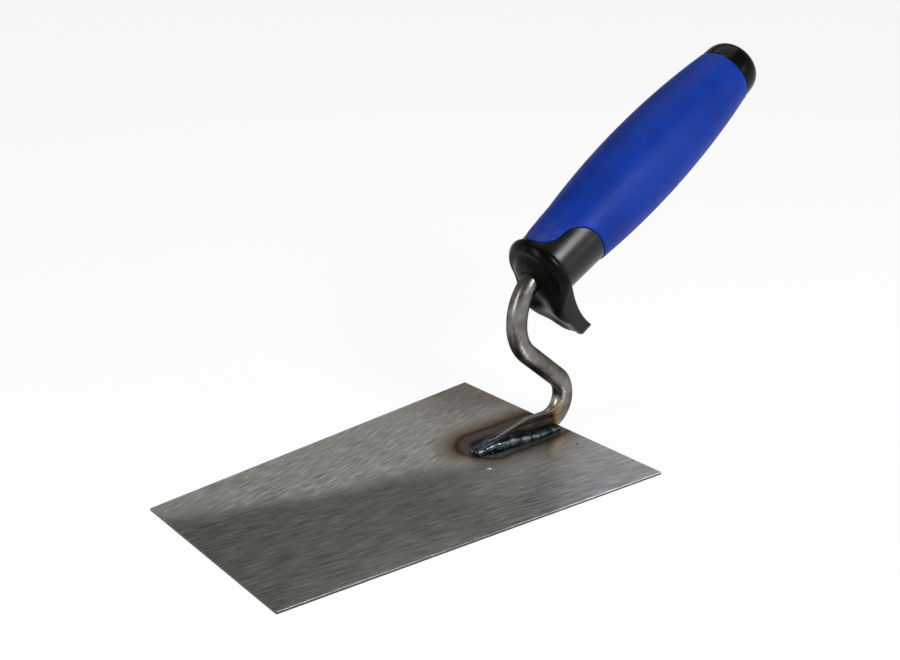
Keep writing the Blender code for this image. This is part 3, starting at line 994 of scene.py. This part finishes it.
def gripRadius(z):
    # proud of the collar in front, then a barrel of two parabolas
    if z < handle["collarLength"]:
        return collarRadius(z) + handle["proud"]
    bellyAt, belly = handle["bellyAt"], handle["belly"]
    if z < bellyAt:
        end = handle["collarRear"] + handle["proud"]
        share = (bellyAt - z) / (bellyAt - handle["collarLength"])
    else:
        end = handle["rear"]
        share = (z - bellyAt) / (handle["gripLength"] - bellyAt)
    return belly + (end - belly) * share**2


def frontEdge(grow):
    # (angle from the top, z) round the sleeve's front edge: the tongue's tip, its flare, and the ring
    tip, flare = handle["tongueTip"] + grow, handle["flare"] - grow
    center = handle["tongueAt"] + handle["tongueTip"]
    half = [(tip * sine, center - tip * cosine) for sine, cosine in quarterTurn(handle["aroundTip"])]
    for sine, cosine in quarterTurn(handle["aroundFlare"])[1:]:
        width = handle["tongueTip"] + handle["flare"] - flare * cosine
        half.append((width, center + (handle["collarLength"] - center - grow) * sine))
    half = [(width / handle["collarFront"], z) for width, z in half]
    lastAngle, ringZ = half[-1]
    for share in spread(handle["aroundRing"])[1:]:
        half.append((blendValue(lastAngle, pi, share), ringZ))
    return half + [(-angle, z) for angle, z in reversed(half[1:-1])]


def handleRing(edge, radiusAt, share=0.0, z=None):
    ring = []
    for angle, edgeZ in edge:
        at = blendValue(edgeZ, handle["gripLength"], share) if z is None else z
        radius = radiusAt(at)
        ring.append(Vector((-radius * cos(angle), radius * sin(angle), at)))
    return ring


sleeveLip = [(0, 0.55), (0.03, 0.3), (0.12, 0.12), (0.28, 0.03), (0.5, 0)]  # inset and drop, in mm


def makeGripSleeve():
    outer = [
        handleRing(frontEdge(-inset * mm), lambda z, drop=drop: gripRadius(z) - drop * mm)
        for inset, drop in sleeveLip
    ]
    edge = frontEdge(-sleeveLip[-1][0] * mm)
    rows = spread(handle["rows"])
    outer += [handleRing(edge, gripRadius, share**1.15 * 0.996) for share in rows[1:]]
    back = handle["gripLength"]
    for short, drop in ((0.28, 0.06), (0.1, 0.16), (0, 0.4)):
        outer.append(handleRing(edge, lambda z, drop=drop: gripRadius(z) - drop * mm, z=back - short * mm))
    bare = frontEdge(0)
    inner = [handleRing(bare, lambda z: gripRadius(z) - handle["wall"], share) for share in reversed(rows[::4])]
    mesh = loftMesh("gripSleeve", outer + inner, closed=True, sharpAngle=42)
    tipZ = handle["tongueAt"]
    setAttribute(
        mesh,
        "tongueShare",
        [
            smoothStep(-vert.co.x, 6 * mm, 11 * mm) * smoothStep(vert.co.z, tipZ + 17 * mm, tipZ + 3 * mm)
            for vert in mesh.vertices
        ],
    )
    place(mesh, handleFrame)
    return finishPiece(makeObject("gripSleeve", mesh), "blue_elastomer", gripRubber, "grip_sleeve")


core = inMillimetres(front=1.6, rimRound=0.5, bore=4.4, socket=7.3, socketDepth=14.3)


def makeCollarCore():
    edge = frontEdge(handle["gap"])
    front, rim = core["front"], core["rimRound"]
    back = handle["gripLength"]
    floor = back - core["socketDepth"]
    rings = [handleRing(edge, lambda z: core["bore"], z=front)]
    for sine, cosine in quarterTurn(5):
        drop, at = rim * (1 - sine), front + rim * (1 - cosine)
        rings.append(handleRing(edge, lambda z, drop=drop: collarRadius(z) - drop, z=at))
    for share in spread(14)[1:]:
        ring = []
        for angle, edgeZ in edge:
            at = blendValue(front + rim, max(edgeZ, front + rim), share)
            radius = collarRadius(at)
            ring.append(Vector((-radius * cos(angle), radius * sin(angle), at)))
        rings.append(ring)
    seat = handle["wall"] + handle["gap"]
    rings += [handleRing(edge, lambda z: gripRadius(z) - seat, share) for share in spread(20)]
    rings += [
        handleRing(edge, lambda z: core["socket"], z=back),
        handleRing(edge, lambda z: core["socket"], z=floor),
        handleRing(edge, lambda z: core["bore"], z=floor),
    ]
    mesh = place(loftMesh("collarCore", rings, closed=True), handleFrame)
    return finishPiece(makeObject("collarCore", mesh), "core_polymer", collarPlastic, "handle_core")


cap = {
    **inMillimetres(
        length=11.7, step=0.3, spigot=7, spigotLength=14, seamWidth=0.35, seamDepth=0.3,
    ),
    "squareness": 3.5,
    "around": 128,
}


def makeEndCap():
    seat = handle["gripLength"] + handle["gap"]
    radius = handle["rear"] - cap["step"]
    power = 2 / cap["squareness"]
    profile = [
        (radius * sine**power, seat + cap["length"] * max(cosine, 0) ** power)
        for sine, cosine in quarterTurn(40)[1:]
    ]
    profile[-1] = (radius, seat + cap["seamWidth"])
    bottom = handle["gripLength"] - cap["spigotLength"]
    profile += [
        (radius - cap["seamDepth"], seat),
        (cap["spigot"], seat),
        (cap["spigot"], bottom),
    ]
    turns = [tau * i / cap["around"] for i in range(cap["around"])]
    rings = [[(out * cos(turn), out * sin(turn), z) for turn in turns] for out, z in profile]
    mesh = place(loftMesh("strikingCap", rings), handleFrame)
    return finishPiece(makeObject("strikingCap", mesh), "cap_polymer", capPlastic, "end_cap")


makeGripSleeve()
makeCollarCore()
makeEndCap()

# finger guard: a dome round the bar's exit that runs down into a swept, channelled hook

guard = {
    **inMillimetres(
        radius=14.7, rearAt=1.3, dome=8.2, bossAt=1.4, valley=0.75, crest=0.3, hoodFrom=1.5, hoodTo=13,
        leanAt=29, filletFrom=13.45, filletReach=3.2, fillet=2.6, rim=1.4, hookRim=6.9, reach=38.5,
        tipRadius=5.8, thickness=10.6, tipThickness=7, sweepRadius=60, sweepFrom=10, channelDepth=2.6,
        edgeRound=0.5, boreRoom=0.35,
    ),
    "bossShape": 2.2,
    "bossPower": 0.5,
    "bossSlant": 0.2,
    "hookShape": 2.1,
    "tipThinning": 0.15,
    "channelShare": 0.75,
    "channelWall": 1.3,
    "channelFade": 0.55,
    "rimMost": 0.8,
    "valleyBell": (0.71, 0.11),
    "crestBell": (0.88, 0.07),
    "acrossSteps": 96,
    "rearSteps": 40,
}

hookCenter = guard["reach"] - guard["tipRadius"]
hookTaper = asin((guard["radius"] - guard["tipRadius"]) / hookCenter)
taperStart = guard["radius"] * sin(hookTaper)
taperEnd = hookCenter + guard["tipRadius"] * sin(hookTaper)


def guardHalfWidth(down):
    radius = guard["radius"]
    if down < taperStart:
        return sqrt(max(radius**2 - down**2, 0))
    if down < taperEnd:
        return radius * cos(hookTaper) - (down - taperStart) * tan(hookTaper)
    return sqrt(max(guard["tipRadius"] ** 2 - (down - hookCenter) ** 2, 0))


def guardRear(down):
    past = max(down - guard["sweepFrom"], 0)
    return guard["rearAt"] + guard["sweepRadius"] - sqrt(guard["sweepRadius"] ** 2 - past**2)


def guardDepth(down):
    dome, thick, radius = guard["dome"], guard["thickness"], guard["radius"]
    if down < 0:
        return dome * (1 + guard["bossSlant"] * down / radius)
    depth = dome + (thick - dome) * smoothStep(down, 0, radius)
    depth += (guard["tipThickness"] - thick) * smoothStep(down, 0.95 * radius, guard["leanAt"])
    past = max(down - taperEnd, 0) / (guard["reach"] - taperEnd)
    return depth * (1 - guard["tipThinning"] * past**2)


def bell(value, middle, width):
    return exp(-(((value - middle) / width) ** 2))


def bossShare(down, y):
    # how far a point lies between the boss's middle and the rim, along their line
    middle, radius = guard["bossAt"], guard["radius"]
    away = hypot(down - middle, y)
    along = middle * (down - middle) / max(away, 0.01 * mm)
    return away / (sqrt(along**2 - middle**2 + radius**2) - along)


def bossHeight(out, depth):
    # a boss round the bar, a shallow valley, and a flange crest inside the rim; out is 0 to 1
    crown = max(1 - min(out, 1) ** guard["bossShape"], 0) ** guard["bossPower"]
    height = guard["rim"] + (depth - guard["rim"]) * crown
    height -= guard["valley"] * bell(out, *guard["valleyBell"])
    return height + guard["crest"] * bell(out, *guard["crestBell"])


def hookHeight(down, side, depth):
    squareness = guard["hookShape"]
    rim = min(guard["hookRim"], guard["rimMost"] * depth)
    crown = (1 - min(abs(side), 1) ** squareness) ** (1 / squareness)
    fade = guard["channelFade"] * smoothStep(down, guard["reach"] / 2, guard["reach"])
    channel = guard["channelDepth"] * (1 - fade)
    groove = cos(pi / 2 * min(abs(side) / guard["channelShare"], 1)) ** guard["channelWall"]
    return rim + (depth - rim) * crown - channel * groove


def guardFront(down, y):
    # height of the front face over the rear one
    width, depth = guardHalfWidth(down), guardDepth(down)
    side = min(abs(y) / width, 1)
    boss = bossHeight(bossShare(down, y) if down < guard["bossAt"] else side, depth)
    share = smoothStep(down, guard["hoodFrom"], guard["hoodTo"])
    return blendValue(boss, hookHeight(down, side, depth), share) if share else boss


def guardFillet(down, y):
    # the rear face swells up the collar's underside, just outside it
    out = hypot(down, y) - guard["filletFrom"]
    if out < 0 or down < 0:
        return 0
    fade = smoothStep(down / hypot(down, y), 0.55, 0.9)
    return guard["fillet"] * max(1 - out / guard["filletReach"], 0) ** 2 * fade


def guardSection(down):
    width, rear = guardHalfWidth(down), guardRear(down)
    points = []
    for share in spread(guard["acrossSteps"] + 1):
        y = width * sin(pi * (share - 0.5))
        points.append(Vector((down, y, rear - guardFront(down, y))))
    # the rear edge is softened
    soft = min(guard["edgeRound"], width * 0.4)
    for sine, cosine in quarterTurn(4):
        points.append(Vector((down, width - soft * (1 - cosine), rear - soft * (1 - sine))))
    inner = width - soft
    for share in spread(guard["rearSteps"])[1:-1]:
        y = inner * (1 - 2 * share)
        points.append(Vector((down, y, rear + guardFillet(down, y))))
    for sine, cosine in reversed(quarterTurn(4)):
        points.append(Vector((down, -width + soft * (1 - cosine), rear - soft * (1 - sine))))
    return points


def makeGuard():
    radius = guard["radius"]
    disc = [-radius * cos(radians(turn)) for turn in range(4, 103, 3)]
    run = [blendValue(disc[-1], taperEnd, share) for share in spread(60)[1:]]
    tip = [
        hookCenter + guard["tipRadius"] * sin(blendValue(hookTaper, radians(84), share))
        for share in spread(14)[1:]
    ]
    mesh = loftMesh("guardMoulding", [guardSection(down) for down in disc + run + tip], sharpAngle=50)
    place(mesh, handleFrame)
    moulding = makeObject("guardMoulding", mesh)
    room = rod + guard["boreRoom"]
    path = [(handleZero + alongHandle * radius, aboveHandle)]
    path += arcPoints(upperCenter, neck["upperBend"], neck["tilt"] + pi / 2, pi, 24)
    cutter = makeObject("neckRoom", loftMesh("neckRoom", [roundRing(*step, room) for step in path]))
    cut = moulding.modifiers.new("neckRoom", "BOOLEAN")
    cut.operation = "DIFFERENCE"
    cut.object = cutter
    bpy.context.view_layer.update()
    carved = bpy.data.meshes.new_from_object(moulding.evaluated_get(bpy.context.evaluated_depsgraph_get()))
    moulding.modifiers.clear()
    moulding.data = carved
    bpy.data.objects.remove(cutter)
    carved.shade_smooth()
    carved.set_sharp_from_angle(angle=radians(50))
    return finishPiece(moulding, "guard_polymer", guardPlastic, "guard")


makeGuard()

# parting line: a fine flash ridge left by the mould along the middle of the nose, coloured lighter than the
# guard as a painted highlight on the ridge

flash = inMillimetres(radius=0.16, sunk=0.04, step=0.3, start=-14.2, end=-4.6)


def makeFlashTree():
    tree, start, output = newPieceTree("mouldFlash", {"Ridge Radius": "Float", "Step": "Float"})
    path = outputOf(tree, "GeometryNodeMeshToCurve", {"Mesh": start.outputs["Geometry"]})
    even = outputOf(
        tree, "GeometryNodeResampleCurve", {"Curve": path, "Length": start.outputs["Step"]}, mode="LENGTH"
    )
    ring = outputOf(
        tree, "GeometryNodeCurvePrimitiveCircle", {"Resolution": 8, "Radius": start.outputs["Ridge Radius"]}
    )
    ridge = outputOf(
        tree, "GeometryNodeCurveToMesh", {"Curve": even, "Profile Curve": ring, "Fill Caps": True}
    )
    endTree(tree, ridge, output, flashPlastic)
    return tree


def makeGuardFlash():
    points = []
    for share in spread(40):
        down = blendValue(flash["start"], flash["end"], share)
        front = guardRear(down) - guardFront(down, 0) + flash["sunk"]
        points.append(handleFrame @ Vector((down, 0, front)))
    mesh = meshFrom("guardFlash", points, edges=[(i, i + 1) for i in range(len(points) - 1)])
    values = {"Ridge Radius": flash["radius"], "Step": flash["step"]}
    piece = grownPiece("guardFlash", mesh, makeFlashTree(), values)
    turnOutwards(piece.data)
    return finishPiece(piece, "guard_polymer", None)


makeGuardFlash()

# studio: pale floor, soft lamps, surroundings that darken overhead, camera

studio = {
    "floorSize": 8.0,
    "floorColor": (0.9, 0.9, 0.9),
    "floorGlow": 0.9,
    "sky": [(0.0, 0.8), (0.3, 0.42), (0.75, 0.1)],
    "lamps": [
        # name, direction from the object (right, up, away), distance, size, power
        ("keyLamp", (0.58, 0.56, -0.6), 0.8, (0.24, 0.24), 4.6),
        ("rightLamp", (0.9, 0.25, -0.25), 0.75, (0.2, 0.4), 0.8),
        ("leftLamp", (-0.75, 0.35, -0.5), 0.75, (0.2, 0.4), 2.0),
        ("overheadLamp", (0.1, 1.0, 0.35), 1.0, (0.8, 0.8), 2.6),
    ],
}

cameraSetup = {
    "azimuth": radians(-39.80),
    "elevation": radians(20.38),
    "roll": radians(-0.20),
    "location": (-0.2322, -0.3075, 0.2041),
    "lens": 46.607,
}


def emptyTree(owner):
    owner.use_nodes = True
    owner.node_tree.nodes.clear()
    return owner.node_tree


def makeFloor():
    half = studio["floorSize"] / 2
    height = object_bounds()[0][2]
    corners = [(x * half, y * half, height) for x, y in ((-1, -1), (1, -1), (1, 1), (-1, 1))]
    floor = makeObject("studioFloor", meshFrom("studioFloor", corners, [(0, 1, 2, 3)]))
    material = bpy.data.materials.new("studioFloor")
    tree = emptyTree(material)
    matte = outputOf(tree, "ShaderNodeBsdfDiffuse", {"Color": (*studio["floorColor"], 1)})
    glow = outputOf(tree, "ShaderNodeEmission", {"Color": (1, 1, 1, 1), "Strength": 1.0})
    rays = addNode(tree, "ShaderNodeLightPath")
    seen = maths("MAXIMUM", rays.outputs["Is Camera Ray"], rays.outputs["Is Glossy Ray"])
    seen = maths("MAXIMUM", seen, rays.outputs["Is Transmission Ray"])
    share = times(seen, studio["floorGlow"])
    surface = outputOf(tree, "ShaderNodeMixShader", {0: share, 1: matte, 2: glow})
    addNode(tree, "ShaderNodeOutputMaterial", {"Surface": surface})
    floor.data.materials.append(material)


def makeSurroundings():
    world = bpy.data.worlds.new("studioSurroundings")
    tree = emptyTree(world)
    way = addNode(tree, "ShaderNodeTexCoord").outputs["Generated"]
    color = ramp(partsOf(way)[2], studio["sky"])
    light = outputOf(tree, "ShaderNodeBackground", {"Color": color, "Strength": 1.0})
    addNode(tree, "ShaderNodeOutputWorld", {"Surface": light})
    scene.world = world


def makeLamps():
    right = Vector((cos(cameraSetup["azimuth"]), sin(cameraSetup["azimuth"]), 0))
    away = Vector((-right.y, right.x, 0))
    target = Vector((0.04, 0, 0.05))
    for name, (toRight, toUp, toAway), distance, size, power in studio["lamps"]:
        way = (right * toRight + Vector((0, 0, toUp)) + away * toAway).normalized()
        lamp = bpy.data.lights.new(name, "AREA")
        lamp.shape = "RECTANGLE"
        lamp.size, lamp.size_y = size
        lamp.energy = power
        obj = makeObject(name, lamp)
        obj.location = target + way * distance
        obj.rotation_euler = (-way).to_track_quat("-Z", "Y").to_euler()


def makeCamera():
    data = bpy.data.cameras.new("camera")
    data.sensor_width = 36
    data.lens = cameraSetup["lens"]
    data.clip_start = 0.01
    camera = makeObject("camera", data)
    turn = Matrix.Rotation(cameraSetup["azimuth"], 4, "Z")
    turn = turn @ Matrix.Rotation(pi / 2 - cameraSetup["elevation"], 4, "X")
    turn = turn @ Matrix.Rotation(cameraSetup["roll"], 4, "Z")
    camera.matrix_world = Matrix.Translation(cameraSetup["location"]) @ turn
    scene.camera = camera


makeFloor()
makeSurroundings()
makeLamps()
makeCamera()
scene.view_settings.view_transform = "Standard"
print("studio ready")
